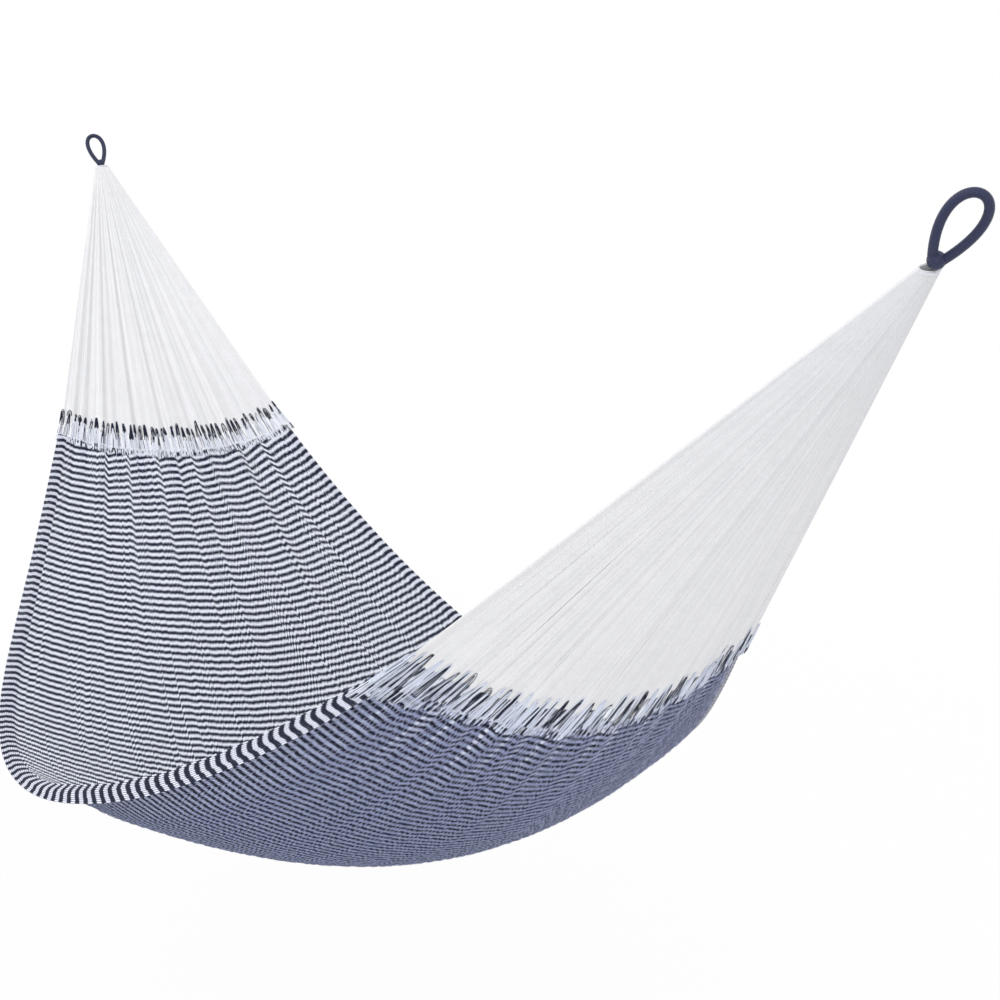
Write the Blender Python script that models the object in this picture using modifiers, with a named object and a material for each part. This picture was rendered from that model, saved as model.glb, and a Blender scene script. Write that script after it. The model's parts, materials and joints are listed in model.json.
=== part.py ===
"""A gathered-end rope hammock, hanging open. Metres, +Z up, X along the hammock, front at -Y.

The origin is midway between the two hooks, which bear at the inside top of each eye. The strings run from
a bound neck under each eye to the finger loops at the end of the woven bed. Strings, loops and bed are made
as strips side by side, so the bed can open sideways about the line through the two necks.
"""

import math

import bmesh
import bpy
from mathutils import Vector

# Overall shape: each string hangs in a plane through the line of the two necks
NECK_SPAN = 2.85  # neck to neck
STRING_LENGTH = {-1: 0.781, 1: 0.859}  # neck to finger loops, at the left and the right end
HANG_ANGLE = 50.3  # of the middle string at each neck, below the horizontal, degrees
HANG_LEAN = 2.05  # how much steeper the back string is than the middle one
HANG_CURVE = {-1: 1.8, 1: -2.4}  # how much steeper both outer strings are
FULLNESS = 0.0745  # extra depth of the bed in the middle of its length
OPENING = 25.6  # from the middle plane to either edge at the finger loops, degrees
TURN = -2.1  # of the whole bed towards the front, degrees
BULGE = 0.205  # how much wider it opens in the middle of its length, as a share

# The cloth
STRIPS = 7  # side by side across the bed
CLOTH = 0.004  # thickness of strings, loops and bed
EDGE_CLOTH = 0.006  # thickness of the edge bands
EDGE_BAND = 0.036  # width of each edge band in the middle of the bed
LOOP_LENGTH = 0.060  # finger loops, tip to bed
SEAM = 0.0006  # clear gap between neighbouring pieces
NECK_ROW = 0.028  # width of the strings side by side where they leave the neck

# The eyes
EYE_LENGTH = 0.088  # neck centre to the far end of the rope's centre line
EYE_WIDTH = 0.039  # across the loop, on the centre line
EYE_RISE = 53.0  # above the horizontal, degrees
EYE_TURN = {-1: -7.0, 1: -38.0}  # of each loop about its own length, degrees
ROPE = 0.0105  # whipped rope, outside
WHIPPING = 0.0016  # wall of the whipping
CORE_GAP = 0.0005  # between the whipping and the core
CLEARANCE = 0.0003  # between the two legs, and from their ends to the neck binding
NECK_BALL = 0.0105  # radius of the binding that closes each eye

ENDS = {-1: "left", 1: "right"}
ROPE_POINTS = 28
NECK_X = NECK_SPAN / 2
HOOK_RISE = (EYE_LENGTH - ROPE / 2) * math.sin(math.radians(EYE_RISE))  # neck to hook
STRING_START = NECK_BALL + SEAM  # from the neck's centre

NAVY = (0.055, 0.070, 0.135, 1.0)
WHITE = (0.86, 0.86, 0.88, 1.0)
STRIPED = (0.42, 0.44, 0.54, 1.0)


# ---- the surface that the cloth follows; s runs from -1 at the front edge to 1 at the back edge

def hang_angle(end, s):
    """The angle below the horizontal at which string s leaves the neck."""
    spread = s * (1.35 - 0.35 * s * s)  # strings lie closer together towards the edges
    return math.radians(HANG_ANGLE + HANG_LEAN * spread + HANG_CURVE[end] * spread**2)


def bed_point(t, s):
    """A point of the bed: t runs from 0 at the left finger tips to 1 at the right ones."""
    left, right = hang_angle(-1, s), hang_angle(1, s)
    x0 = -NECK_X + STRING_LENGTH[-1] * math.cos(left)
    x1 = NECK_X - STRING_LENGTH[1] * math.cos(right)
    r0 = STRING_LENGTH[-1] * math.sin(left)
    r1 = STRING_LENGTH[1] * math.sin(right)
    run = x1 - x0
    middle = 16 * (t * (1 - t)) ** 2
    depth = (2 * t**3 - 3 * t**2 + 1) * r0 + (t**3 - 2 * t**2 + t) * run * math.tan(left)
    depth += (3 * t**2 - 2 * t**3) * r1 - (t**3 - t**2) * run * math.tan(right)
    depth += FULLNESS * middle
    swing = math.radians(TURN + OPENING * s) * (1 + BULGE * middle)
    return Vector((x0 + t * run, depth * math.sin(swing), -HOOK_RISE - depth * math.cos(swing)))


def bed_share(end, s, distance):
    """The t of a point that lies this far along string s from the finger tips of one end."""
    run = (bed_point(1, s) - bed_point(0, s)).x
    share = distance * math.cos(hang_angle(end, s)) / run
    return share if end < 0 else 1 - share


def neck(end):
    return Vector((end * NECK_X, 0, -HOOK_RISE))


def tips(end, s):
    return bed_point(0 if end < 0 else 1, s)


def string_point(end, share, s):
    """A point of the strings: share runs from 0 at the neck to 1 at the finger tips."""
    down = (tips(end, 0) - neck(end)).normalized()
    start = neck(end) + down * STRING_START + Vector((0, s * NECK_ROW / 2, 0))
    return start.lerp(tips(end, s), share)


def half_width(point, step=0.1):
    """Half of the width across the cloth at a station, from the function that gives its points."""
    steps = round(1 / step)
    row = [point(i * step) for i in range(-steps, steps + 1)]
    return sum((b - a).length for a, b in zip(row, row[1:])) / 2


# ---- making the pieces

def make_material(name, colour, roughness):
    material = bpy.data.materials.new(name)
    material.use_nodes = True
    shader = material.node_tree.nodes["Principled BSDF"]
    shader.inputs["Base Color"].default_value = colour
    shader.inputs["Roughness"].default_value = roughness
    material.diffuse_color = colour
    return material


def make_object(name, mesh, colour):
    thing = bpy.data.objects.new(name, mesh)
    cloth_set.objects.link(thing)
    mesh.materials.clear()
    mesh.materials.append(make_material(name, colour, 0.85))
    return thing


def place_origin(thing, centre):
    """Moves the object's origin to a point, with the mesh left where it is."""
    thing.data.transform(thing.matrix_world.inverted())
    for vertex in thing.data.vertices:
        vertex.co -= centre
    thing.location = centre


def make_strip(name, point, sides, along, across, thickness, colour):
    """A strip of cloth: point(u, s) with u from 0 to 1 and s between the two sides, less half a seam."""
    bm = bmesh.new()
    bmesh.ops.create_grid(bm, x_segments=along, y_segments=across, size=1)
    widths = {}
    for vertex in bm.verts:
        u = round((vertex.co.x + 1) / 2, 4)
        if u not in widths:
            widths[u] = half_width(lambda s, u=u: point(u, s))
        trims = [0 if abs(side) == 1 else SEAM / 2 / widths[u] for side in sides]
        low, high = sides[0] + trims[0], sides[1] - trims[1]
        s = low + (high - low) * (vertex.co.y + 1) / 2
        vertex.co = point(u, s)
    bmesh.ops.recalc_face_normals(bm, faces=bm.faces)
    mesh = bpy.data.meshes.new(name)
    bm.to_mesh(mesh)
    bm.free()
    mesh.shade_smooth()
    strip = make_object(name, mesh, colour)
    place_origin(strip, Vector((0, 0, -HOOK_RISE)))  # a point of the line it turns about
    solid = strip.modifiers.new("Thickness", "SOLIDIFY")
    solid.thickness = thickness
    solid.offset = 0
    return strip


def eye_points(end):
    """The rope's centre line: out from the neck, round the hook and back beside itself."""
    rise, turn = math.radians(EYE_RISE), math.radians(EYE_TURN[end])
    out = Vector((end * math.cos(rise), 0, math.sin(rise)))
    side = Vector((0, 1, 0))
    side = side * math.cos(turn) + out.cross(side) * math.sin(turn)
    leg = ROPE / 2 + CLEARANCE / 2  # each leg's distance from the middle at the neck
    first = math.sqrt(NECK_BALL**2 - leg**2) + CLEARANCE  # the ends rest on the round binding
    widest = 0.77  # the largest value of sin(a) * sin(a / 2), where cos(a / 2) is 0.577
    belly = (EYE_WIDTH / 2 - 0.577 * leg) / widest
    points = []
    for i in range(ROPE_POINTS):
        a = 2 * math.pi * i / (ROPE_POINTS - 1)
        reach = first + (EYE_LENGTH - first) * (1 - math.cos(a)) / 2
        aside = leg * math.cos(a / 2) + belly * math.sin(a) * math.sin(a / 2)
        points.append(neck(end) + out * reach + side * aside)
    return points


def make_rope(name, points, radius, colour, wall=0):
    """A round rope along the points: solid with flat ends, or a sleeve where a wall is given."""
    curve = bpy.data.curves.new(name, "CURVE")
    curve.dimensions = "3D"
    curve.bevel_depth = radius
    curve.bevel_resolution = 2
    curve.use_fill_caps = wall == 0
    spline = curve.splines.new("POLY")
    spline.points.add(len(points) - 1)
    for spot, point in zip(spline.points, points):
        spot.co = (*point, 1)
    guide = bpy.data.objects.new(name + ".guide", curve)
    cloth_set.objects.link(guide)
    mesh = bpy.data.meshes.new_from_object(guide.evaluated_get(bpy.context.evaluated_depsgraph_get()))
    bpy.data.objects.remove(guide)
    bm = bmesh.new()
    bm.from_mesh(mesh)
    bmesh.ops.remove_doubles(bm, verts=bm.verts, dist=0.00001)
    bmesh.ops.recalc_face_normals(bm, faces=bm.faces)
    bm.to_mesh(mesh)
    bm.free()
    mesh.shade_smooth()
    rope = make_object(name, mesh, colour)
    place_origin(rope, sum(points, Vector()) / len(points))
    if wall:
        sleeve = rope.modifiers.new("Wall", "SOLIDIFY")
        sleeve.thickness = wall
        sleeve.offset = -1
        sleeve.use_even_offset = True
    return rope


def make_neck(name, end):
    bm = bmesh.new()
    bmesh.ops.create_uvsphere(bm, u_segments=16, v_segments=10, radius=NECK_BALL)
    mesh = bpy.data.meshes.new(name)
    bm.to_mesh(mesh)
    bm.free()
    mesh.shade_smooth()
    ball = make_object(name, mesh, NAVY)
    ball.location = neck(end)
    return ball


# ---- building the hammock

for old in list(bpy.data.objects):
    bpy.data.objects.remove(old)
cloth_set = bpy.data.collections.new("rope_hammock")
bpy.context.scene.collection.children.link(cloth_set)

mid_width = 2 * half_width(lambda s: bed_point(0.5, s))
edge = 1 - 2 * EDGE_BAND / mid_width  # the s where the back edge band starts
lines = [edge * (2 * i / STRIPS - 1) for i in range(STRIPS + 1)]


def bed_strip(u, s):
    """The bed between the finger loops."""
    start = bed_share(-1, s, LOOP_LENGTH + SEAM)
    return bed_point(start + (bed_share(1, s, LOOP_LENGTH + SEAM) - start) * u, s)


def edge_strip(u, s):
    """An edge band, from finger tips to finger tips."""
    start = bed_share(-1, s, SEAM)
    return bed_point(start + (bed_share(1, s, SEAM) - start) * u, s)


for end, side in ENDS.items():
    def loop_strip(u, s, end=end):
        return bed_point(bed_share(end, s, SEAM + (LOOP_LENGTH - SEAM) * u), s)

    def string_strip(u, s, end=end):
        return string_point(end, u, s)

    path = eye_points(end)
    make_rope(f"{side}_eye_core", path, ROPE / 2 - WHIPPING - CORE_GAP, WHITE)
    make_rope(f"{side}_eye_whipping", path, ROPE / 2, NAVY, WHIPPING)
    make_neck(f"{side}_neck_binding", end)
    for i in range(STRIPS):
        sides = [lines[i], lines[i + 1]]
        make_strip(f"{side}_loops_{i + 1}", loop_strip, sides, 2, 3, CLOTH, STRIPED)
        sides[0] = -1 if i == 0 else sides[0]
        sides[1] = 1 if i == STRIPS - 1 else sides[1]
        make_strip(f"{side}_strings_{i + 1}", string_strip, sides, 5, 3, CLOTH, WHITE)

for i in range(STRIPS):
    make_strip(f"bed_panel_{i + 1}", bed_strip, (lines[i], lines[i + 1]), 28, 3, CLOTH, STRIPED)
make_strip("front_edge_band", edge_strip, (-1, -edge), 30, 2, EDGE_CLOTH, NAVY)
make_strip("back_edge_band", edge_strip, (edge, 1), 30, 2, EDGE_CLOTH, NAVY)
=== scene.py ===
import json
import math

import bmesh
import bpy
import numpy as np
from mathutils import Matrix, Vector


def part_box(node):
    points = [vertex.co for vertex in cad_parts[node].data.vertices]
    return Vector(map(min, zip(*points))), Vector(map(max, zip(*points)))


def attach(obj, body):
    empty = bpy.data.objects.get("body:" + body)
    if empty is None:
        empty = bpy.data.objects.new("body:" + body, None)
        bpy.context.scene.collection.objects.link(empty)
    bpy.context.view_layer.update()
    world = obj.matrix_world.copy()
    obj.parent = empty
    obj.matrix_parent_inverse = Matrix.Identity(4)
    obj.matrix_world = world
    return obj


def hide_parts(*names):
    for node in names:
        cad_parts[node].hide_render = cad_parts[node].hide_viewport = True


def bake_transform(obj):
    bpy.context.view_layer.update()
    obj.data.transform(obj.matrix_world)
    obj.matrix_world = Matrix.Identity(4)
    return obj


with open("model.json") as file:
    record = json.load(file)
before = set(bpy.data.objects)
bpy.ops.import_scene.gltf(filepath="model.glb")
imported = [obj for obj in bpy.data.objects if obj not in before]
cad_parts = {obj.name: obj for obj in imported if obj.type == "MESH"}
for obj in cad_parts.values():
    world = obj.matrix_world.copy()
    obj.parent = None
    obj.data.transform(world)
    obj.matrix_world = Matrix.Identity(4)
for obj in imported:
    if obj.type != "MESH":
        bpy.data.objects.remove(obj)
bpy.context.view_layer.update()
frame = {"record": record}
print("frame loaded")

ends = {-1: "left", 1: "right"}
tipShare = {-1: 0.0, 1: 1.0}  # the share of the bed at the finger tips
swingJoint = next(j for j in frame["record"]["behaviour"]["joints"] if j["name"] == "swing")
neckZ = swingJoint["pos_m"][2]
neckX = float(np.mean([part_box("right_neck_binding")[k][0] for k in (0, 1)]))
ballRadius = (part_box("right_neck_binding")[1][2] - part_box("right_neck_binding")[0][2]) / 2

necks = {end: np.array([end * neckX, 0, neckZ]) for end in ends}

hang = {  # the surface that the cloth follows, metres and degrees
    "stringLength": {-1: 0.781, 1: 0.859},  # neck to finger tips
    "angle": 50.3,  # of the middle string at the neck
    "lean": 2.05,  # back string steeper than the middle one
    "curve": {-1: 1.8, 1: -2.4},  # outer strings steeper
    "fullness": 0.0745,  # extra depth in the middle
    "opening": 25.6,  # middle plane to edge
    "turn": -2.1,
    "bulge": 0.205,
}
cloth = {
    "edgeBand": 0.036,  # width of an edge band in the middle of the bed
    "pleatHeight": 0.004,  # folds where the cloth gathers
    "pleatReach": 0.10,  # how far they run, as a share of the bed
    "stripes": 114,  # pairs of navy and white
    "firstStripe": {-1: 0.082, 1: 0.108},  # from the finger tips to the middle of the first navy one
    "foldShift": 1.35,  # how far a fold drags the stripes, in stripes
    "foldReach": 0.12,
    "foldRise": 0.86,  # share of each fold that its gentle slope takes
}

white = (0.85, 0.88, 0.97, 1)
# the bluer back of the weave, darkened further as painted shade for the downward side of white yarns
shadedLavender = (0.29, 0.335, 0.53, 1)
navy = (0.014, 0.019, 0.044, 1)
# navy darkened as painted shade for the downward side of navy yarns
shadedNavy = (0.006, 0.008, 0.030, 1)
endWhite = (0.83, 0.83, 0.85, 1)
endGrey = (0.60, 0.61, 0.64, 1)
edgeWhite = (0.84, 0.86, 0.97, 1)
# painted shade for the dark lines between the edge band's yarns
betweenShadeBlue = (0.16, 0.18, 0.30, 1)
# white darkened and blued as painted shade for the downward side of the finger loops
shadedLegBlue = (0.76, 0.81, 0.94, 1)
# white of the under strings, painted as in shade
shadedStringBlue = (0.46, 0.49, 0.70, 1)
whippingNavy = (0.022, 0.027, 0.070, 1)
threadWhite = (0.78, 0.78, 0.84, 1)


def hangAngle(end, s):
    spread = s * (1.35 - 0.35 * s * s)  # levels off towards the edges
    return np.radians(hang["angle"] + hang["lean"] * spread + hang["curve"][end] * spread**2)


def plainBed(t, s):  # t from 0 at the left finger tips to 1 at the right, s from -1 in front to 1 behind
    t, s = np.broadcast_arrays(np.asarray(t, float), np.asarray(s, float))
    left, right = hangAngle(-1, s), hangAngle(1, s)
    x0 = -neckX + hang["stringLength"][-1] * np.cos(left)
    x1 = neckX - hang["stringLength"][1] * np.cos(right)
    r0 = hang["stringLength"][-1] * np.sin(left)
    r1 = hang["stringLength"][1] * np.sin(right)
    run = x1 - x0
    middle = 16 * (t * (1 - t)) ** 2  # 1 in the middle, 0 at the ends
    depth = (2 * t**3 - 3 * t**2 + 1) * r0 + (t**3 - 2 * t**2 + t) * run * np.tan(left)
    depth = depth + (3 * t**2 - 2 * t**3) * r1 - (t**3 - t**2) * run * np.tan(right)
    depth = depth + hang["fullness"] * middle
    swing = np.radians(hang["turn"] + hang["opening"] * s) * (1 + hang["bulge"] * middle)
    return np.stack([x0 + t * run, depth * np.sin(swing), neckZ - depth * np.cos(swing)], -1)


def bedNormal(t, s):  # unit, towards the side that a person lies on
    step = 1e-3
    along = plainBed(t + step, s) - plainBed(t - step, s)
    across = plainBed(t, s + step) - plainBed(t, s - step)
    normal = np.cross(along, across)
    return normal / np.linalg.norm(normal, axis=-1, keepdims=True)


def acrossScale(t, s):  # metres across the cloth for each unit of s
    step = 1e-3
    return np.linalg.norm(plainBed(t, s + step) - plainBed(t, s - step), axis=-1) / (2 * step)


def nearEnds(t, reach):  # 1 at both ends, falling to 0 in the middle
    return np.exp(-t / reach) + np.exp(-(1 - t) / reach)


def pleat(s):  # small uneven folds, about -1 to 1
    return (np.sin(27 * s + 0.6) + 0.7 * np.sin(47 * s + 2.1) + 0.5 * np.sin(71 * s + 4.0)) / 1.6


def bedPoint(t, s, lift=0.0):
    height = lift + cloth["pleatHeight"] * pleat(s) * nearEnds(np.clip(t, 0, 1), cloth["pleatReach"])
    return plainBed(t, s) + bedNormal(t, s) * np.asarray(height)[..., None]


def foldDrag(s):  # a gentle slope up to each fold line, then a sharp drop
    turns = 4.3 * s + 0.35 * np.sin(5.1 * s + 1.0) + 0.2 * np.sin(11.0 * s)
    share = turns - np.floor(turns)
    rise = cloth["foldRise"]
    slope = np.where(share < rise, share / rise, (1 - share) / (1 - rise)) - 0.5
    return slope * (0.75 + 0.25 * np.sin(7.3 * s + 4.4)) + 0.08 * np.sin(31 * s)


midLine = plainBed(np.linspace(0, 1, 2001), np.zeros(2001))
midArc = np.concatenate([[0], np.cumsum(np.linalg.norm(np.diff(midLine, axis=0), axis=1))])
bedLength = float(midArc[-1])
stripePitch = (bedLength - sum(cloth["firstStripe"].values())) / cloth["stripes"]


def arcAt(t):
    return np.interp(t, np.linspace(0, 1, 2001), midArc)


def stripeAt(t, s):
    drag = foldDrag(s) * nearEnds(np.clip(t, 0, 1), cloth["foldReach"])
    return (arcAt(t) - cloth["firstStripe"][-1]) / stripePitch + 0.5 + cloth["foldShift"] * drag


def bedShare(end, s, distance):  # the t of a point this far from the finger tips of one end
    run = (plainBed(1.0, s) - plainBed(0.0, s))[..., 0]
    share = distance * np.cos(hangAngle(end, s)) / run
    return share if end < 0 else 1 - share


frontRim = {  # towards the right end the front edge stands up and its band hangs over the outside
    "at": (0.0, 0.40, 0.50, 0.57, 0.63, 0.70, 0.79, 0.86, 0.93, 1.0),  # share of the bed, left to right
    "outwards": (0, 0, 0, 0.1, 0.4, 0.8, 1, 1, 1, 1),  # from the inner side of the band to its outer side
    "lift": (0, 0, 0.006, 0.018, 0.027, 0.027, 0.027, 0.024, 0.018, 0.008),
    "roll": (0.15, 0.20, 0.60, 1.15, 1.6, 1.9, 1.95, 2.0, 2.1, 2.2),  # fall of the band, radians
}
backRim = {
    "at": (0.0, 0.55, 0.75, 1.0),
    "outwards": (0, 0, 0, 0),
    "lift": (0, 0, 0, 0),
    "roll": (0.45, 0.45, 0.0, -0.25),
}
rims = {-1: frontRim, 1: backRim}
rimEnd = 0.985  # the s of the cloth's own edge where the band hangs outside it
rimLean = 1.2  # the way that the rim is lifted, from along the cloth to square to it, radians


def rimValue(half, key, t):
    spread = (-0.03, -0.015, 0.0, 0.015, 0.03)  # smooths the corners of the list
    return sum(np.interp(t + step, rims[half]["at"], rims[half][key]) for step in spread) / len(spread)


def rimAt(half, t):  # the s where the edge band starts
    return half * (edge + (rimEnd - edge) * rimValue(half, "outwards", t))


def acrossWay(t, s):  # unit, along the cloth towards the back
    step = 1e-3
    way = plainBed(t, s + step) - plainBed(t, s - step)
    return way / np.linalg.norm(way, axis=-1, keepdims=True)


def clothPoint(half, t, s, height=0.0):  # s runs to where the edge band starts
    place = s * rimAt(half, t) / (half * edge)
    outer = np.clip(np.abs(s) / edge * 5 - 4, 0, 1)  # only the outer fifth is lifted
    rise = rimValue(half, "lift", t) * outer**1.5
    way = acrossWay(t, place) * half * math.cos(rimLean) + bedNormal(t, place) * math.sin(rimLean)
    return bedPoint(t, place, height) + np.asarray(rise)[..., None] * way


midWidth = float(np.sum(np.linalg.norm(np.diff(plainBed(0.5, np.linspace(-1, 1, 21)), axis=0), axis=1)))
edge = 1 - 2 * cloth["edgeBand"] / midWidth
print(f"bed {bedLength:.2f} m along, {midWidth:.2f} m across")


# node helpers

def addNode(tree, kind, **settings):
    node = tree.nodes.new(kind)
    for name, value in settings.items():
        setattr(node, name, value)
    return node


def openSocket(sockets, name):
    return next(s for s in sockets if s.enabled and s.name == name)


def feed(tree, socket, value):  # a value is set, a socket is linked
    if isinstance(value, bpy.types.NodeSocket):
        tree.links.new(value, socket)
    else:
        socket.default_value = value


def mathNode(tree, operation, first, second=0.0):
    node = addNode(tree, "ShaderNodeMath", operation=operation)
    feed(tree, node.inputs[0], first)
    feed(tree, node.inputs[1], second)
    return node.outputs[0]


def vectorNode(tree, operation, first, second=None, scale=None):
    node = addNode(tree, "ShaderNodeVectorMath", operation=operation)
    feed(tree, node.inputs[0], first)
    if second is not None:
        feed(tree, node.inputs[1], second)
    if scale is not None:
        feed(tree, node.inputs["Scale"], scale)
    return node.outputs["Value" if operation in ("DOT_PRODUCT", "LENGTH") else "Vector"]


# the Geometry Nodes tree that turns guide lines into cords

def cordTree():
    tree = bpy.data.node_groups.new("cordsAlongLines", "GeometryNodeTree")
    tree.is_modifier = True
    face = tree.interface
    face.new_socket("Geometry", in_out="INPUT", socket_type="NodeSocketGeometry")
    kinds = {"Thickness": "Float", "Sides": "Int", "Flatten": "Float", "Ripple Height": "Float",
             "Ripple Length": "Float", "Ridge Height": "Float", "Ridge Pitch": "Float",
             "Material": "Material"}
    for name, kind in kinds.items():
        face.new_socket(name, in_out="INPUT", socket_type="NodeSocket" + kind)
    face.new_socket("Geometry", in_out="OUTPUT", socket_type="NodeSocketGeometry")
    start = addNode(tree, "NodeGroupInput")

    def attribute(name, kind="FLOAT"):
        node = addNode(tree, "GeometryNodeInputNamedAttribute", data_type=kind)
        node.inputs["Name"].default_value = name
        return openSocket(node.outputs, "Attribute")

    def store(geometry, name, value, kind="FLOAT"):
        node = addNode(tree, "GeometryNodeStoreNamedAttribute", data_type=kind, domain="POINT")
        tree.links.new(geometry, node.inputs["Geometry"])
        node.inputs["Name"].default_value = name
        tree.links.new(value, openSocket(node.inputs, "Value"))
        return node.outputs["Geometry"]

    def move(geometry, offset):
        node = addNode(tree, "GeometryNodeSetPosition")
        tree.links.new(geometry, node.inputs["Geometry"])
        tree.links.new(offset, node.inputs["Offset"])
        return node.outputs["Geometry"]

    outward = attribute("outward", "FLOAT_VECTOR")
    position = addNode(tree, "GeometryNodeInputPosition").outputs["Position"]
    turns = mathNode(tree, "DIVIDE", attribute("along"), start.outputs["Ripple Length"])
    turns = mathNode(tree, "ADD", turns, attribute("phase"))
    wave = mathNode(tree, "SINE", mathNode(tree, "MULTIPLY", turns, math.tau))
    ripple = mathNode(tree, "MULTIPLY", wave, start.outputs["Ripple Height"])
    lines = move(start.outputs["Geometry"], vectorNode(tree, "SCALE", outward, scale=ripple))
    lines = store(lines, "centre", position, "FLOAT_VECTOR")
    curve = addNode(tree, "GeometryNodeMeshToCurve")
    tree.links.new(lines, curve.inputs["Mesh"])
    rings = mathNode(tree, "DIVIDE", attribute("along"), start.outputs["Ridge Pitch"])
    ring = mathNode(tree, "ABSOLUTE", mathNode(tree, "SINE", mathNode(tree, "MULTIPLY", rings, math.pi)))
    ridge = mathNode(tree, "MULTIPLY", ring, start.outputs["Ridge Height"])
    base = mathNode(tree, "MULTIPLY", attribute("radius0"), start.outputs["Thickness"])
    circle = addNode(tree, "GeometryNodeCurvePrimitiveCircle")
    circle.inputs["Radius"].default_value = 1
    tree.links.new(start.outputs["Sides"], circle.inputs["Resolution"])
    tube = addNode(tree, "GeometryNodeCurveToMesh")
    tree.links.new(curve.outputs["Curve"], tube.inputs["Curve"])
    tree.links.new(mathNode(tree, "ADD", base, ridge), tube.inputs["Scale"])
    tree.links.new(circle.outputs["Curve"], tube.inputs["Profile Curve"])
    tube.inputs["Fill Caps"].default_value = True
    centre = attribute("centre", "FLOAT_VECTOR")
    height = vectorNode(tree, "DOT_PRODUCT", vectorNode(tree, "SUBTRACT", position, centre), outward)
    sided = store(tube.outputs["Mesh"], "face", mathNode(tree, "DIVIDE", height, base))
    aside = vectorNode(tree, "DOT_PRODUCT", vectorNode(tree, "SUBTRACT", position, centre),
                       attribute("sideways", "FLOAT_VECTOR"))
    sided = store(sided, "across", mathNode(tree, "DIVIDE", aside, base))
    squeeze = mathNode(tree, "MULTIPLY", mathNode(tree, "MULTIPLY", height, start.outputs["Flatten"]), -1.0)
    flat = move(sided, vectorNode(tree, "SCALE", outward, scale=squeeze))
    smooth = addNode(tree, "GeometryNodeSetShadeSmooth")
    tree.links.new(flat, smooth.inputs["Geometry"])
    real = addNode(tree, "GeometryNodeRealizeInstances")
    tree.links.new(smooth.outputs["Geometry"], real.inputs["Geometry"])
    paint = addNode(tree, "GeometryNodeSetMaterial")
    tree.links.new(real.outputs["Geometry"], paint.inputs["Geometry"])
    tree.links.new(start.outputs["Material"], paint.inputs["Material"])
    end = addNode(tree, "NodeGroupOutput")
    tree.links.new(paint.outputs["Geometry"], end.inputs["Geometry"])
    return tree


cordsAlongLines = cordTree()
cordDefaults = {"Thickness": 1.0, "Sides": 5, "Flatten": 0.0, "Ripple Height": 0.0, "Ripple Length": 0.05,
                "Ridge Height": 0.0, "Ridge Pitch": 0.002}


def setAttribute(mesh, name, values, kind="FLOAT"):
    layer = mesh.attributes.new(name, kind, "POINT")
    field = "vector" if kind == "FLOAT_VECTOR" else "value"
    layer.data.foreach_set(field, np.ascontiguousarray(values, np.float32).ravel())


def makeCords(name, lines, material, **sizes):  # each line has points, outward, radius0, along and phase
    counts = [len(line["points"]) for line in lines]
    starts = np.concatenate([[0], np.cumsum(counts)[:-1]])
    links = [np.stack([np.arange(n - 1), np.arange(1, n)], 1) + a for a, n in zip(starts, counts)]
    pairs = np.concatenate(links)
    points = np.concatenate([line["points"] for line in lines])
    mesh = bpy.data.meshes.new(name)
    mesh.vertices.add(len(points))
    mesh.vertices.foreach_set("co", points.astype(np.float32).ravel())
    mesh.edges.add(len(pairs))
    mesh.edges.foreach_set("vertices", pairs.astype(np.int32).ravel())
    for key in lines[0]:
        if key == "points":
            continue
        vector = key in ("outward", "sideways")
        shape = [(n, 3) if vector else (n,) for n in counts]
        values = np.concatenate([np.broadcast_to(line[key], size) for line, size in zip(lines, shape)])
        setAttribute(mesh, key, values, "FLOAT_VECTOR" if vector else "FLOAT")
    cords = bpy.data.objects.new(name, mesh)
    bpy.context.scene.collection.objects.link(cords)
    modifier = cords.modifiers.new("Cords", "NODES")
    modifier.node_group = cordsAlongLines
    sockets = [item for item in cordsAlongLines.interface.items_tree if item.in_out == "INPUT"]
    names = {item.name: item.identifier for item in sockets}
    for key, value in {**cordDefaults, **sizes}.items():
        modifier[names[key]] = value
    modifier[names["Material"]] = material
    graph = bpy.context.evaluated_depsgraph_get()
    shaped = cords.evaluated_get(graph)
    solid = bpy.data.meshes.new_from_object(shaped, preserve_all_data_layers=True, depsgraph=graph)
    cords.modifiers.clear()
    cords.data = solid
    solid.name = name
    bpy.data.meshes.remove(mesh)
    print(f"{name}: {len(lines)} cords, {sum(len(p.vertices) - 2 for p in solid.polygons)} triangles")
    return cords


# materials

def newGroup(name, inputs, outputs):
    group = bpy.data.node_groups.new(name, "ShaderNodeTree")
    for label, kind, value in inputs:
        socket = group.interface.new_socket(label, in_out="INPUT", socket_type="NodeSocket" + kind)
        socket.default_value = value
    for label, kind in outputs:
        group.interface.new_socket(label, in_out="OUTPUT", socket_type="NodeSocket" + kind)
    return group, addNode(group, "NodeGroupInput"), addNode(group, "NodeGroupOutput")


def noiseNode(tree, scale, detail=2):
    node = addNode(tree, "ShaderNodeTexNoise")
    tree.links.new(addNode(tree, "ShaderNodeTexCoord").outputs["Object"], node.inputs["Vector"])
    node.inputs["Scale"].default_value = scale
    node.inputs["Detail"].default_value = detail
    return node.outputs["Fac"]


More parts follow.
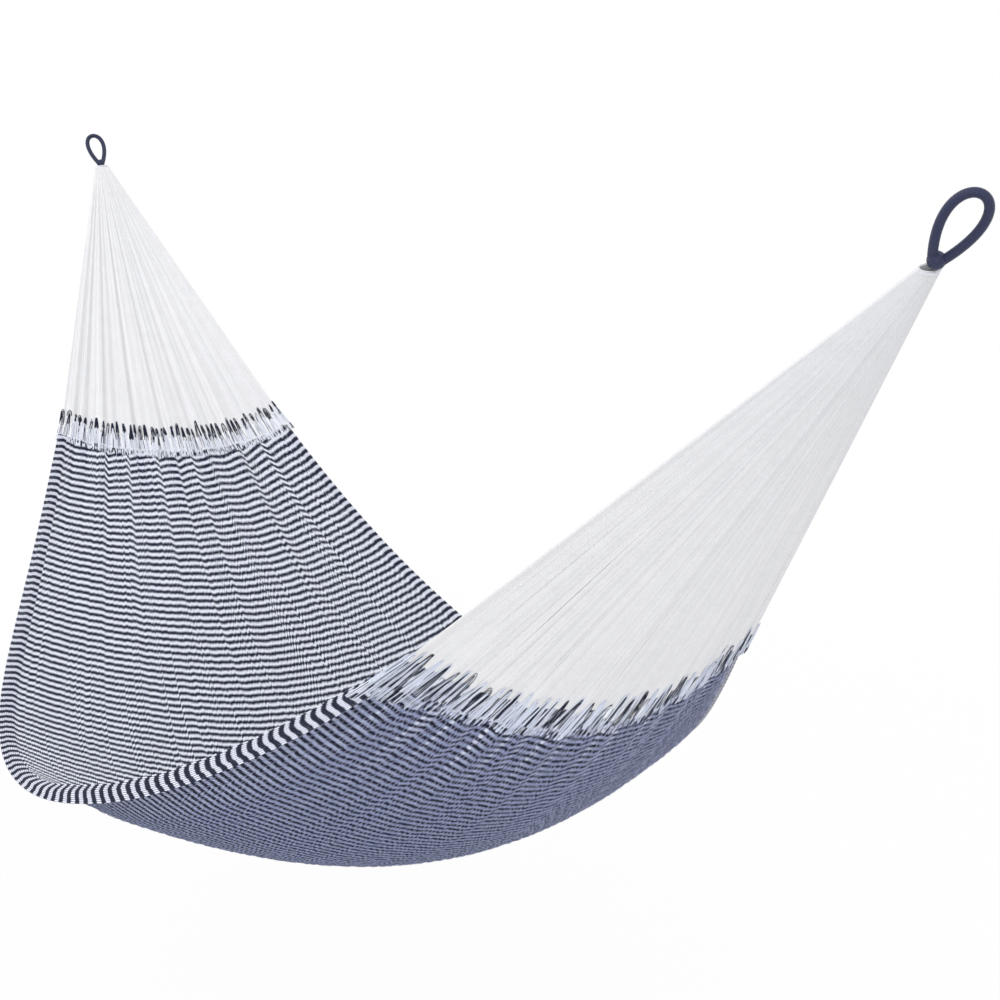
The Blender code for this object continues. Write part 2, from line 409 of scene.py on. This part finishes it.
def stripeGroup():  # navy mask along the cloth, with ragged edges
    inputs = [("Stripe", "Float", 0.0), ("Across", "Float", 0.0), ("Tooth", "Float", 0.1),
              ("Navy Share", "Float", 0.45), ("Ragged", "Float", 0.1)]
    group, start, end = newGroup("stripeMask", inputs, [("Mask", "Float")])
    shift = mathNode(group, "SUBTRACT", noiseNode(group, scale=260), 0.5)
    shift = mathNode(group, "MULTIPLY", shift, start.outputs["Ragged"])
    tooth = mathNode(group, "MULTIPLY", start.outputs["Across"], start.outputs["Tooth"])
    place = mathNode(group, "ADD", mathNode(group, "ADD", start.outputs["Stripe"], tooth), shift)
    part = mathNode(group, "FRACT", place)
    away = mathNode(group, "ABSOLUTE", mathNode(group, "SUBTRACT", part, 0.5))  # 0 in the middle of the navy
    edgeMask = addNode(group, "ShaderNodeMapRange", interpolation_type="SMOOTHSTEP")
    half = mathNode(group, "MULTIPLY", start.outputs["Navy Share"], 0.5)
    group.links.new(away, edgeMask.inputs["Value"])
    group.links.new(mathNode(group, "ADD", half, 0.05), edgeMask.inputs["From Min"])
    group.links.new(mathNode(group, "SUBTRACT", half, 0.05), edgeMask.inputs["From Max"])
    group.links.new(edgeMask.outputs["Result"], end.inputs["Mask"])
    return group


def yarnGroup():  # shade and height of twisted yarn
    inputs = [("Along", "Float", 0.0), ("Around", "Float", 0.0), ("Twist Length", "Float", 0.006),
              ("Ply Depth", "Float", 0.16)]
    group, start, end = newGroup("twistedYarn", inputs, [("Shade", "Float"), ("Height", "Float")])
    turns = mathNode(group, "DIVIDE", start.outputs["Along"], start.outputs["Twist Length"])
    turns = mathNode(group, "ADD", turns, mathNode(group, "MULTIPLY", start.outputs["Around"], 0.5))
    ply = mathNode(group, "ABSOLUTE", mathNode(group, "SINE", mathNode(group, "MULTIPLY", turns, math.pi)))
    fuzz = noiseNode(group, scale=900, detail=3)
    drift = noiseNode(group, scale=35)
    shade = mathNode(group, "MULTIPLY", mathNode(group, "SUBTRACT", ply, 0.6), start.outputs["Ply Depth"])
    shade = mathNode(group, "ADD", shade, 0.90)
    shade = mathNode(group, "ADD", shade, mathNode(group, "MULTIPLY", fuzz, 0.10))
    shade = mathNode(group, "ADD", shade, mathNode(group, "MULTIPLY", drift, 0.08))
    group.links.new(mathNode(group, "MINIMUM", shade, 1.05), end.inputs["Shade"])
    high = mathNode(group, "ADD", ply, mathNode(group, "MULTIPLY", fuzz, 0.6))
    group.links.new(high, end.inputs["Height"])
    return group


stripeMask = stripeGroup()
twistedYarn = yarnGroup()


def mixColour(tree, share, first, second, mode="MIX"):
    node = addNode(tree, "ShaderNodeMix", data_type="RGBA", blend_type=mode)
    feed(tree, node.inputs["Factor"], share)
    for socket, value in zip([s for s in node.inputs if s.type == "RGBA"], (first, second)):
        feed(tree, socket, value)
    return next(s for s in node.outputs if s.type == "RGBA")


def readAttribute(tree, name):
    return addNode(tree, "ShaderNodeAttribute", attribute_name=name).outputs["Fac"]


def useGroup(tree, group, **values):
    node = addNode(tree, "ShaderNodeGroup", node_tree=group)
    for name, value in values.items():
        feed(tree, node.inputs[name.replace("_", " ")], value)
    return node


def yarnMaterial(name, colour, roughness=0.85, sheen=0.05, bump=0.0006, twist=0.006, ply=0.16):
    material = bpy.data.materials.new(name)
    material.use_nodes = True
    tree = material.node_tree
    shader = tree.nodes["Principled BSDF"]
    shader.inputs["Roughness"].default_value = roughness
    shader.inputs["Sheen Weight"].default_value = sheen
    shader.inputs["Specular IOR Level"].default_value = 0.25
    yarn = useGroup(tree, twistedYarn, Along=readAttribute(tree, "along"),
                    Around=readAttribute(tree, "face"), Twist_Length=twist, Ply_Depth=ply)
    grey = addNode(tree, "ShaderNodeCombineColor")
    for channel in grey.inputs:
        tree.links.new(yarn.outputs["Shade"], channel)
    shaded = mixColour(tree, 1.0, colour(tree), grey.outputs["Color"], "MULTIPLY")
    tree.links.new(shaded, shader.inputs["Base Color"])
    relief = addNode(tree, "ShaderNodeBump")
    relief.inputs["Distance"].default_value = bump
    relief.inputs["Strength"].default_value = 0.6
    tree.links.new(yarn.outputs["Height"], relief.inputs["Height"])
    tree.links.new(relief.outputs["Normal"], shader.inputs["Normal"])
    return material


def rampNode(tree, value, start, end):  # 0 at start, 1 at end
    node = addNode(tree, "ShaderNodeMapRange")
    tree.links.new(value, node.inputs["Value"])
    node.inputs["From Min"].default_value = start
    node.inputs["From Max"].default_value = end
    return node.outputs["Result"]


def underside(tree):  # 1 on the side of a yarn that faces down, where painted shade goes into the colour
    return rampNode(tree, readAttribute(tree, "face"), 0.1, -0.3)


def stripedColour(navyShare, tooth, ragged, pale=None):
    def colour(tree):
        mask = useGroup(tree, stripeMask, Stripe=readAttribute(tree, "stripe"),
                        Across=readAttribute(tree, "across"), Tooth=tooth, Navy_Share=navyShare,
                        Ragged=ragged).outputs["Mask"]
        # the downward side of each yarn gets painted shade, over the bluer back of the weave
        under = underside(tree)
        light = mixColour(tree, under, white, shadedLavender)
        if pale:  # the yarns show one by one, with painted shade as dark lines between them
            between = rampNode(tree, mathNode(tree, "ABSOLUTE", readAttribute(tree, "across")), 0.5, 0.95)
            light = mixColour(tree, between, pale, betweenShadeBlue)
        dark = mixColour(tree, under, navy, shadedNavy)
        return mixColour(tree, mask, light, dark)
    return colour


def loopColour(tree):  # white legs with painted shade on their downward side, some of them dark, and a navy tip
    tip = mathNode(tree, "GREATER_THAN", readAttribute(tree, "tip"), readAttribute(tree, "tipStart"))
    foot = mathNode(tree, "LESS_THAN", readAttribute(tree, "tip"), readAttribute(tree, "footEnd"))
    leg = mixColour(tree, underside(tree), white, shadedLegBlue)
    return mixColour(tree, mathNode(tree, "MAXIMUM", tip, foot), leg, navy)


def endColour(tree):
    # the grey mixes a random tone of each string with painted shade near the neck
    return mixColour(tree, readAttribute(tree, "tone"), endWhite, endGrey)


def plainColour(value):
    def colour(tree):
        return mixColour(tree, 0.0, value, value)
    return colour


bedYarn = yarnMaterial("bedYarn", stripedColour(navyShare=0.52, tooth=0.17, ragged=0.28))
edgeYarn = yarnMaterial("edgeYarn", stripedColour(navyShare=0.52, tooth=0.04, ragged=0.15, pale=edgeWhite))
loopYarn = yarnMaterial("loopYarn", loopColour)
endString = yarnMaterial("endString", endColour, sheen=0.15, bump=0.00004, twist=0.013, ply=0.03)
paleString = yarnMaterial("paleString", plainColour(shadedStringBlue))
whippingCord = yarnMaterial("whippingCord", plainColour(whippingNavy), roughness=0.45, sheen=0.12,
                            twist=0.003)
neckThread = yarnMaterial("neckThread", plainColour(threadWhite))
print("materials made")


def turnWithSide(piece):
    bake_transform(piece)


def nodesOf(stem, half):  # the CAD strips of one half, the middle one with the front
    return [f"{stem}_{i}" for i in (range(1, 5) if half < 0 else range(5, 8))]


halves = {-1: "front", 1: "back"}

# the bed's lengthwise yarns

bedYarns = {
    "seed": 11,
    "count": 320,
    "step": 0.024,  # metres between the points of a yarn
    "height": 0.5,  # of a yarn, as a share of its width
    "overlap": 1.2,
    "jitter": 0.05,  # of the stripes, yarn by yarn
    "drift": 0.05,
    "driftLength": 0.11,
    "start": {-1: 0.062, 1: 0.086},  # from the finger tips
}
for half, word in halves.items():
    rng = np.random.default_rng(bedYarns["seed"] + half)
    lines = []
    width = edge / (bedYarns["count"] // 2)
    for i in range(bedYarns["count"] // 2):
        s = half * width * (i + 0.5)
        first, last = (float(bedShare(end, s, bedYarns["start"][end])) for end in ends)
        t = np.linspace(first, last, int(bedLength / bedYarns["step"]))
        along = arcAt(t)
        shift = rng.normal() * bedYarns["jitter"]
        wander = np.sin(along / bedYarns["driftLength"] + rng.uniform(0, 6.3))
        shift = shift + bedYarns["drift"] * wander
        lines.append({
            "points": clothPoint(half, t, s),
            "outward": bedNormal(t, s),
            "sideways": acrossWay(t, s),
            "radius0": acrossScale(t, s) * width / 2 * bedYarns["overlap"],
            "along": along,
            "phase": rng.uniform(0, 1),
            "stripe": stripeAt(t, s) + shift,
        })
    yarns = makeCords(f"{word}_bed_yarns", lines, bedYarn, Flatten=1 - bedYarns["height"])
    turnWithSide(yarns)

# edge bands

edgeYarns = {
    "seed": 31,
    "count": 10,
    "width": 0.033,  # of the whole band, in the middle of the bed
    "curl": 0.35,  # across the band, radians
    "step": 0.012,
    "overlap": 1.03,
    "narrowing": (0.3, 0.5, 0.05),  # in the bed, more at the ends, and how far in
    "jitter": 0.03,
    "drift": 0.03,
    "jog": {-1: 0.3, 1: 0.0},  # the band's stripes against the bed's, in stripes
    "bend": {-1: ((0, 0.2, 0.6, 1), (-0.40, 0, -0.15, -0.55)), 1: ((0, 0.5, 1), (0, 0.6, 0.8))},
    "fullBend": (0.25, 0.5),  # where along the bed the bend grows from bendLeft to all of it
    "bendLeft": 0.35,
    "spacing": {-1: ((0, 0.42, 0.52, 1), (1, 1, 0.70, 0.70)), 1: ((0, 1), (1, 1))},
    "start": {-1: {-1: 0.060, 1: 0.115}, 1: {-1: 0.060, 1: 0.085}},
}
for half, word in halves.items():
    rng = np.random.default_rng(edgeYarns["seed"] + half)
    lines = []
    first, last = (float(bedShare(end, half * edge, edgeYarns["start"][half][end])) for end in ends)
    t = np.linspace(first, last, int(bedLength / edgeYarns["step"]))
    inner = rimAt(half, t)
    normal, aside = bedNormal(t, inner), acrossWay(t, inner) * half
    least, more, reach = edgeYarns["narrowing"]
    narrowing = least + more * nearEnds(t, reach)
    width = edgeYarns["width"] * (acrossScale(t, inner) / acrossScale(0.5, inner)) ** narrowing
    strand = (width / edgeYarns["count"])[:, None]
    foot = clothPoint(half, t, half * edge)
    stripe = stripeAt(t, inner)
    rate = np.interp(t, *edgeYarns["spacing"][half])
    stripe = stripe[0] + np.concatenate([[0], np.cumsum(np.diff(stripe) * (rate[1:] + rate[:-1]) / 2)])
    bent = np.interp(t, edgeYarns["fullBend"], (edgeYarns["bendLeft"], 1))
    for i in range(edgeYarns["count"]):
        share = (i + 0.5) / edgeYarns["count"]
        angle = (rimValue(half, "roll", t) + edgeYarns["curl"] * (share - 0.5))[:, None]
        way = aside * np.cos(angle) - normal * np.sin(angle)
        shift = rng.normal() * edgeYarns["jitter"]
        wander = np.sin(arcAt(t) / bedYarns["driftLength"] + rng.uniform(0, 6.3))
        shift = shift + edgeYarns["drift"] * wander + edgeYarns["jog"][half]
        lines.append({
            "points": foot + way * strand / 2,
            "outward": normal * np.cos(angle) + aside * np.sin(angle),
            "sideways": way * half,
            "radius0": strand[:, 0] / 2 * edgeYarns["overlap"],
            "along": arcAt(t),
            "phase": rng.uniform(0, 1),
            "stripe": stripe + shift + bent * np.interp(share, *edgeYarns["bend"][half]),
        })
        foot = foot + way * strand
    band = makeCords(f"{word}_edge_yarns", lines, edgeYarn, Sides=6)
    turnWithSide(band)
    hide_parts(f"{word}_edge_band")

# pale strings that weave in and out of the underside, their white painted as in shade

underStrings = {
    "seed": 51,
    "count": 130,
    "radius": 0.00048,
    "depth": 0.0007,
    "ripple": 0.0012,  # height of the waves that take a string in and out of the bed
    "wave": 0.055,
    "start": 0.06,  # from the finger tips
    "points": 190,
    "sway": 0.004,
}
for half, word in halves.items():
    rng = np.random.default_rng(underStrings["seed"] + half)
    lines = []
    for i in range(underStrings["count"] // 2):
        s = half * edge * (i + 0.3) / (underStrings["count"] // 2)
        first, last = (float(bedShare(end, s, underStrings["start"])) for end in ends)
        t = np.linspace(first, last, underStrings["points"])
        sway = 1 + underStrings["sway"] * np.sin(arcAt(t) * 9 + i)
        lines.append({
            "points": clothPoint(half, t, s * sway, -underStrings["depth"]),
            "outward": bedNormal(t, s),
            "radius0": underStrings["radius"],
            "along": arcAt(t),
            "phase": rng.uniform(0, 1),
        })
    under = makeCords(f"{word}_under_strings", lines, paleString, Sides=3, **{
        "Ripple Height": underStrings["ripple"], "Ripple Length": underStrings["wave"]})
    turnWithSide(under)

# the woven ground that the yarns lie in

ground = {"thickness": 0.0004, "along": 200, "across": 36, "inside": 0.002}
for half, word in halves.items():
    mesh = bpy.data.meshes.new(f"{word}_ground")
    bed = bpy.data.objects.new(f"{word}_ground", mesh)
    bpy.context.scene.collection.objects.link(bed)
    bm = bmesh.new()
    bmesh.ops.create_grid(bm, x_segments=ground["along"], y_segments=ground["across"], size=1)
    bm.to_mesh(mesh)
    bm.free()
    flat = np.empty(len(mesh.vertices) * 3, np.float32)
    mesh.vertices.foreach_get("co", flat)
    flat = flat.reshape(-1, 3).astype(float)
    s = half * edge * (1 + flat[:, 1] * half) / 2
    share = (flat[:, 0] + 1) / 2
    first, last = (bedShare(end, s, bedYarns["start"][end] + ground["inside"]) for end in ends)
    t = first + (last - first) * share
    mesh.vertices.foreach_set("co", clothPoint(half, t, s).astype(np.float32).ravel())
    setAttribute(mesh, "stripe", stripeAt(t, s))
    setAttribute(mesh, "along", arcAt(t))
    setAttribute(mesh, "face", np.zeros(len(t)))
    mesh.materials.append(bedYarn)
    mesh.shade_smooth()
    solid = bed.modifiers.new("Thickness", "SOLIDIFY")
    solid.thickness = ground["thickness"]
    solid.offset = 0
    turnWithSide(bed)
    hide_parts(*nodesOf("bed_panel", half))
    flat = (edge * midWidth / 2, bedLength - sum(bedYarns["start"].values()))

# finger loops

fingers = {
    "seed": 70,
    "count": 42,
    "radius": 0.0010,
    "darkRadius": 0.0006,
    "length": {-1: 0.081, 1: 0.106},
    "foot": {-1: 0.077, 1: 0.101},
    "cornerReach": 0.045,  # longer loops at the front corner of the right end
    "edgeReach": 0.006,  # longer loops at both edges
    "uneven": 0.005,  # in length, loop by loop
    "unevenStrands": 0.0012,
    "lean": 0.0020,  # sideways at the tip
    "wobble": 0.0009,
    "unevenLift": 0.0004,
    "shape": (0.7, 0.65),  # how full the arch of a loop is, upwards and sideways
    "tip": {-1: (0.20, 0.38), 1: (0.01, 0.10)},  # navy share of a loop, least and most
    "tipJitter": {-1: 0.12, 1: 0.05},
    "tipped": {-1: 6, 1: 1},  # how many of the strands have a navy tip
    "darkFrom": 0.25,  # where the navy starts on a dark strand
    "darkShare": {-1: 0.18, 1: 0.5},  # of all strands
    "footDark": {-1: (-0.6, 0.26), 1: (-0.3, 0.34)},  # how far up the navy of the bed reaches
    "points": 18,
    "lift": 0.0022,  # of a strand from the middle of the cloth
    "spread": 1.025,
    "strands": (  # width at the foot, width at the tip, and how much shorter, for the nested strands
        (0.98, 0.56, 0.000), (0.84, 0.46, 0.001), (0.70, 0.37, 0.003),
        (0.54, 0.28, 0.005), (0.38, 0.19, 0.008), (0.19, 0.10, 0.012)),
}
for end, side in ends.items():
    for half, word in halves.items():
        rng = np.random.default_rng(fingers["seed"] + 3 * end + half)
        lines = []
        for j in range(fingers["count"] // 2):
            s0 = half * (j + 0.5) / (fingers["count"] // 2) * fingers["spread"]
            scale = float(acrossScale(tipShare[end], s0))
            corner = fingers["cornerReach"] * max(0.0, -s0) ** 5 if end > 0 else 0.0
            reach = fingers["length"][end] + corner + rng.normal() * fingers["uneven"]
            reach = reach + fingers["edgeReach"] * s0**4
            bend = rng.normal() * fingers["lean"]
            wide = scale / fingers["count"]  # half the room of one loop
            tipStart = 1 - rng.uniform(*fingers["tip"][end])
            for k, (base, tip, short) in enumerate(fingers["strands"]):
                q = np.linspace(0, 1, fingers["points"])
                up = np.sin(math.pi * q) ** fingers["shape"][0]
                rise = up * (reach - short) + rng.normal() * fingers["unevenStrands"]
                aside = np.sign(0.5 - q) * np.abs(np.cos(math.pi * q)) ** fingers["shape"][1]
                aside = aside * (base + (tip - base) * up) * wide + bend * up**2
                aside = aside + rng.normal() * fingers["wobble"] * np.sin(q * 9 + rng.uniform(0, 6))
                s = s0 + aside / scale
                t = bedShare(end, s, fingers["foot"][end] + corner - rise)
                dark = rng.uniform(0, 1) < fingers["darkShare"][end]
                face = fingers["lift"] * (-1) ** k  # every other strand lies on the other face
                if dark:
                    navyFrom = fingers["darkFrom"]
                else:
                    navyFrom = tipStart + rng.normal() * fingers["tipJitter"][end]
                    navyFrom = navyFrom + 2 * (k >= fingers["tipped"][end])
                height = face * (0.35 + 0.65 * up) + rng.normal() * fingers["unevenLift"]
                lines.append({
                    "points": bedPoint(t, s, height),
                    "outward": bedNormal(t, s),
                    "radius0": fingers["darkRadius" if dark else "radius"],
                    "along": q * reach * 2,
                    "phase": 0.0,
                    "tip": up,
                    "tipStart": navyFrom,
                    "footEnd": rng.uniform(*fingers["footDark"][end]),
                })
        loops = makeCords(f"{side}_{word}_loops", lines, loopYarn, Sides=4)
        turnWithSide(loops)
        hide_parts(*nodesOf(f"{side}_loops", half))

# end strings

endStrings = {
    "seed": 90,
    "count": 700,
    "radius": 0.0012,
    "points": 11,
    "layer": 0.0002,  # scatter about the middle of the cloth
    "bow": 0.0002,  # scatter between its ends
    "neckWidth": 0.027,
    "neckDepth": 0.011,
    "neckSkin": (0.92, 1),  # how near the outside of the neck a string starts
    "neckThin": 0.55,  # radius at the neck, as a share
    "greyest": 0.25,  # tone of a single string
    "neckShade": {-1: 0.14, 1: 0.45},  # painted shade, greyer where the strings crowd together
    "clear": 0.007,  # from the neck, so that the strings can swing under the eye
    "past": 0.022,  # how far they run into the finger loops
    "perFinger": {-1: 0.93, 1: 0.97},  # the strings of one finger loop bunch together
    "gaps": (-0.95, -0.45, 0.89),  # from s, to s, and how tight they bunch there, at the right end
}
for end, side in ends.items():
    neck = necks[end]
    facing = bedNormal(tipShare[end], 0.0)
    for half, word in halves.items():
        rng = np.random.default_rng(endStrings["seed"] + 3 * end + half)
        lines = []
        for j in range(endStrings["count"] // 2):
            s = half * (j + 0.5) / (endStrings["count"] // 2)
            fingerAt = (math.floor(s * fingers["count"] / 2) + 0.5) * 2 / fingers["count"]
            low, high, tight = endStrings["gaps"]
            tight = tight if end > 0 and low < s < high else endStrings["perFinger"][end]
            s = fingerAt + (s - fingerAt) * tight
            tipT = bedShare(end, s, endStrings["past"])
            finish = bedPoint(tipT, s, rng.normal() * endStrings["layer"])
            deep = (-1) ** j * rng.uniform(*endStrings["neckSkin"]) * math.sqrt(max(0.0, 1 - s * s))
            begin = neck + facing * deep * endStrings["neckDepth"] / 2
            begin = begin + np.array([0, s * endStrings["neckWidth"] / 2, 0])
            f = np.linspace(endStrings["clear"] / hang["stringLength"][end], 1, endStrings["points"])
            normal = bedNormal(tipT, s)
            bow = np.sin(math.pi * f) * rng.normal() * endStrings["bow"]
            points = begin + f[:, None] * (finish - begin) + bow[:, None] * normal
            # painted shade towards the neck, much stronger for the right fan
            shade = endStrings["neckShade"][end] * (1 - f) ** 1.5
            lines.append({
                "points": points,
                "outward": np.broadcast_to(normal, points.shape),
                "radius0": endStrings["radius"] * np.clip(endStrings["neckThin"] + 1.2 * f, 0, 1),
                "along": f * hang["stringLength"][end] + rng.uniform(0, 1),
                "phase": 0.0,
                "tone": rng.uniform(0, 1) ** 4 * endStrings["greyest"] + shade,
            })
        strings = makeCords(f"{side}_{word}_strings", lines, endString)
        turnWithSide(strings)
        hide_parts(*nodesOf(f"{side}_strings", half))

# eyes and necks

eye = {
    "length": 0.088,
    "width": 0.039,
    "rise": 53.0,  # degrees above level
    "turn": {-1: -7.0, 1: -38.0},  # degrees about its own length
    "rope": 0.0105,
    "ridge": 0.00025,  # of one turn of the whipping
    "pitch": 0.0016,
    "points": 620,
    "gap": 0.0003,  # between the two legs
    "sides": 16,
    "knot": 0.0092,
    "knotShift": 0.0035,
    "knotPoints": 160,
    "knotSwell": 1.05,
    "knotSides": 24,
}
for end, side in ends.items():
    rise, turn = math.radians(eye["rise"]), math.radians(eye["turn"][end])
    out = np.array([end * math.cos(rise), 0, math.sin(rise)])
    across = np.array([0, 1, 0]) * math.cos(turn) + np.cross(out, [0, 1, 0]) * math.sin(turn)
    leg = eye["rope"] / 2 + eye["gap"] / 2
    first = ballRadius * 0.5
    belly = (eye["width"] / 2 - 0.577 * leg) / 0.77  # from aside, where the loop is widest
    a = np.linspace(0, math.tau, eye["points"])
    reach = first + (eye["length"] - first) * (1 - np.cos(a)) / 2
    aside = leg * np.cos(a / 2) + belly * np.sin(a) * np.sin(a / 2)
    points = necks[end] + reach[:, None] * out + aside[:, None] * across
    along = np.concatenate([[0], np.cumsum(np.linalg.norm(np.diff(points, axis=0), axis=1))])
    line = {"points": points, "outward": np.broadcast_to(np.cross(out, across), points.shape),
            "radius0": eye["rope"] / 2 - eye["ridge"], "along": along, "phase": 0.0}
    loop = makeCords(f"{side}_eye", [line], whippingCord, Sides=eye["sides"], **{
        "Ridge Height": eye["ridge"], "Ridge Pitch": eye["pitch"]})
    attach(loop, "eyes")
    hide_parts(f"{side}_eye_core", f"{side}_eye_whipping")

    q = np.linspace(-1, 1, eye["knotPoints"])
    knotAt = necks[end] + out * eye["knotShift"]
    points = knotAt + (q * eye["knot"])[:, None] * out
    swell = np.sqrt(np.clip(1 - 0.95 * q**2, 0, 1)) * eye["knotSwell"]
    line = {"points": points, "outward": np.broadcast_to(np.cross(out, across), points.shape),
            "radius0": eye["knot"] * swell, "along": (q + 1) * eye["knot"], "phase": 0.0}
    knot = makeCords(f"{side}_neck", [line], whippingCord, Sides=eye["knotSides"], **{
        "Ridge Height": eye["ridge"], "Ridge Pitch": eye["pitch"]})
    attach(knot, "eyes")
    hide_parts(f"{side}_neck_binding")

# white thread round the neck of each fan

ring = {
    "turns": 3,
    "radius": 0.0007,
    "wide": 0.0145,
    "deep": 0.0068,
    "down": 0.0075,
    "spacing": 0.0013,
    "points": 40,  # in each turn
    "sides": 6,
}
for end, side in ends.items():
    neck = necks[end]
    tipMiddle = plainBed(tipShare[end], 0.0)
    down = (tipMiddle - neck) / np.linalg.norm(tipMiddle - neck)
    facing = bedNormal(tipShare[end], 0.0)
    a = np.linspace(0, math.tau * ring["turns"], ring["points"] * ring["turns"])
    circle = np.cos(a)[:, None] * np.array([0, ring["wide"], 0])
    circle = circle + np.sin(a)[:, None] * facing * ring["deep"]
    points = neck + circle + (ring["down"] + a / math.tau * ring["spacing"])[:, None] * down
    line = {"points": points, "outward": np.broadcast_to(down, points.shape), "radius0": ring["radius"],
            "along": a * 0.01, "phase": 0.0}
    thread = makeCords(f"{side}_neck_thread", [line], neckThread, Sides=ring["sides"])
    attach(thread, "middle")

# camera, light and backdrop

view = {"place": (2.502, -1.141, 0.106), "yaw": 149.47, "pitch": -15.24, "roll": -0.785, "lens": 54.25}
camera = bpy.data.objects.new("camera", bpy.data.cameras.new("camera"))
bpy.context.scene.collection.objects.link(camera)
bpy.context.scene.camera = camera
camera.data.lens = view["lens"]
camera.data.sensor_width = 36
camera.data.clip_end = 100
yaw, pitch = math.radians(view["yaw"]), math.radians(view["pitch"])
forward = Vector((math.cos(pitch) * math.cos(yaw), math.cos(pitch) * math.sin(yaw), math.sin(pitch)))
rightward = forward.cross(Vector((0, 0, 1))).normalized()
upward = rightward.cross(forward)
roll = Matrix.Rotation(math.radians(view["roll"]), 3, "Z")
turned = Matrix((rightward, upward, -forward)).transposed() @ roll
camera.matrix_world = Matrix.Translation(view["place"]) @ turned.to_4x4()


def addLamp(name, place, target, size, power):
    lamp = bpy.data.objects.new(name, bpy.data.lights.new(name, "AREA"))
    bpy.context.scene.collection.objects.link(lamp)
    lamp.data.energy = power
    lamp.data.size = size
    lamp.location = place
    lamp.rotation_euler = (Vector(target) - Vector(place)).to_track_quat("-Z", "Y").to_euler()


def seenRays(tree):  # 1 for what the camera sees, straight, mirrored or through glass
    rays = addNode(tree, "ShaderNodeLightPath")
    straight = mathNode(tree, "MAXIMUM", rays.outputs["Is Camera Ray"], rays.outputs["Is Glossy Ray"])
    return mathNode(tree, "MAXIMUM", straight, rays.outputs["Is Transmission Ray"])


studio = {"floor": -1.75, "world": 0.86, "plainFloor": 0.965, "fade": (2.0, 4.5)}
addLamp("key", (0.5, -3.0, 3.6), (0, 0, -0.8), 3.0, 88)
addLamp("fill", (4.2, -1.8, 0.6), (0.9, 0, -0.5), 2.5, 42)

world = bpy.data.worlds.new("studio")
bpy.context.scene.world = world
world.use_nodes = True
tree = world.node_tree
tree.nodes.clear()
seen = seenRays(tree)
backdrop = addNode(tree, "ShaderNodeBackground")
backdrop.inputs["Color"].default_value = (1, 1, 1, 1)
strength = mathNode(tree, "MULTIPLY", seen, 1 - studio["world"])
tree.links.new(mathNode(tree, "ADD", strength, studio["world"]), backdrop.inputs["Strength"])
tree.links.new(backdrop.outputs["Background"], addNode(tree, "ShaderNodeOutputWorld").inputs["Surface"])

floorMesh = bpy.data.meshes.new("floor")
corners = [(x, y, studio["floor"]) for x, y in ((-30, -30), (30, -30), (30, 30), (-30, 30))]
floorMesh.from_pydata(corners, [], [(0, 1, 2, 3)])
floor = bpy.data.objects.new("floor", floorMesh)
bpy.context.scene.collection.objects.link(floor)
floorPaint = bpy.data.materials.new("floorPaint")
floorPaint.use_nodes = True
tree = floorPaint.node_tree
plain = tree.nodes["Principled BSDF"]
plain.inputs["Base Color"].default_value = (0.8, 0.8, 0.8, 1)
plain.inputs["Roughness"].default_value = 1
glow = addNode(tree, "ShaderNodeEmission")
glow.inputs["Color"].default_value = (1, 1, 1, 1)
seen = seenRays(tree)
share = addNode(tree, "ShaderNodeMixShader")
away = vectorNode(tree, "LENGTH", addNode(tree, "ShaderNodeTexCoord").outputs["Object"])
fade = addNode(tree, "ShaderNodeMapRange", interpolation_type="SMOOTHSTEP")
tree.links.new(away, fade.inputs["Value"])
fade.inputs["From Min"].default_value, fade.inputs["From Max"].default_value = studio["fade"]
fade.inputs["To Min"].default_value = studio["plainFloor"]
fade.inputs["To Max"].default_value = 1.0
tree.links.new(mathNode(tree, "MULTIPLY", seen, fade.outputs["Result"]), share.inputs["Fac"])
tree.links.new(plain.outputs["BSDF"], share.inputs[1])
tree.links.new(glow.outputs["Emission"], share.inputs[2])
tree.links.new(share.outputs["Shader"], tree.nodes["Material Output"].inputs["Surface"])
floorMesh.materials.append(floorPaint)

bpy.context.scene.view_settings.view_transform = "Standard"
print("scene lit")
